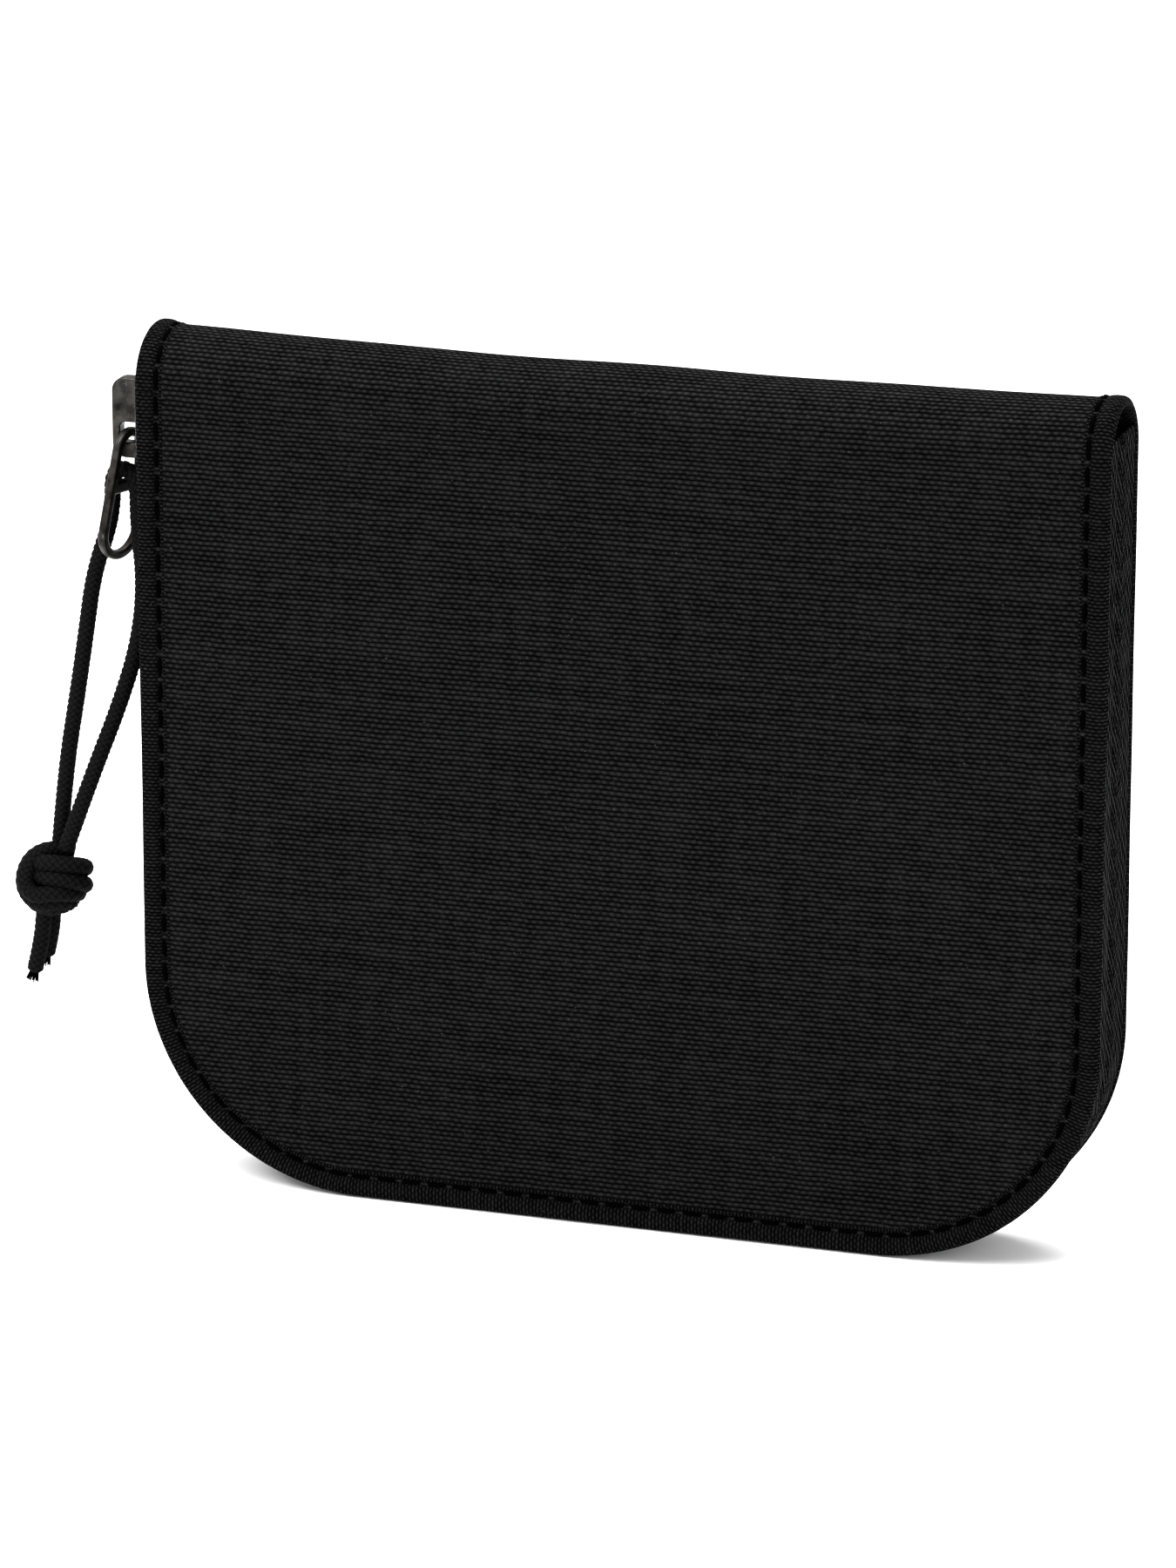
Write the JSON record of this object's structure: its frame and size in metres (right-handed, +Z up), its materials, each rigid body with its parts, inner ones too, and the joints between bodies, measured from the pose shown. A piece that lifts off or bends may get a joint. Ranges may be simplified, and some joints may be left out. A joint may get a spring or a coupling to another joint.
{
  "type": "neck pouch wallet",
  "caption": "Folded fabric travel wallet with a rounded open spine, a coil zip round three sides, a metal slider with a teardrop pull and a knotted cord loop.",
  "frame": {"origin": "middle of the box round the wallet and its slider, at its lowest level", "axes": "+Z up towards the spine, +Y out of the back half, X along the spine with the slider at -X"},
  "size_m": [0.1503, 0.015, 0.115],
  "materials": {
    "shell_cloth": "woven polyester, matt",
    "binding_tape": "woven polyester, turned edge",
    "stiffener": "foam board",
    "lining": "fine plain weave",
    "zip_tape": "herringbone tape",
    "zip_coil": "nylon monofilament",
    "metal": "antique nickel, scuffed",
    "cord": "round braid"
  },
  "bodies": {
    "back_cover": {"shell_back": "shell_cloth", "binding_back": "binding_tape", "stiffener_back": "stiffener", "lining_back": "lining", "zip_tape_back": "zip_tape", "zip_coil_back": "zip_coil", "zip_stops_back": "metal", "zip_chain_end": "zip_tape", "card_pocket_backing": "lining", "card_slot_panel_1": "lining", "card_slot_panel_2": "lining", "card_slot_seams": "lining"},
    "front_cover": {"shell_front": "shell_cloth", "binding_front": "binding_tape", "stiffener_front": "stiffener", "lining_front": "lining", "zip_tape_front": "zip_tape", "zip_coil_front": "zip_coil", "zip_stops_front": "metal", "note_pocket_panel": "lining", "coin_pocket_gusset": "lining", "coin_pocket_lower_panel": "lining", "coin_pocket_upper_panel": "lining", "coin_zip_tapes": "zip_tape", "coin_zip_coils": "zip_coil"},
    "zip_slider": {"slider_body": "metal", "slider_bail": "metal"},
    "zip_pull": {"pull_tab": "metal"},
    "pull_cord": {"cord_outer_leg": "cord", "cord_inner_leg": "cord", "cord_knot": "cord", "cord_tail_long": "cord", "cord_tail_short": "cord"},
    "coin_slider": {"coin_zip_slider": "metal"}
  },
  "joints": [
    {"name": "cover_fold", "type": "hinge", "parent": "back_cover", "child": "front_cover", "pos_m": [0.00342, 0, 0.115], "axis": [-1, 0, 0], "range_deg": [0, 180]},
    {"name": "slider_travel", "type": "slide", "parent": "back_cover", "child": "zip_slider", "axis": [0, 0, -1], "range_m": [0, 0.0644]},
    {"name": "pull_swing", "type": "hinge", "parent": "zip_slider", "child": "zip_pull", "pos_m": [-0.06498, 0, 0.09995], "axis": [0, 1, 0], "range_deg": [0, 115]},
    {"name": "cord_swing", "type": "hinge", "parent": "zip_pull", "child": "pull_cord", "pos_m": [-0.06587, 0, 0.0927], "axis": [0, 1, 0], "range_deg": [0, 8]},
    {"name": "coin_zip_travel", "type": "slide", "parent": "front_cover", "child": "coin_slider", "axis": [1, 0, 0], "range_m": [0, 0.085]}
  ]
}
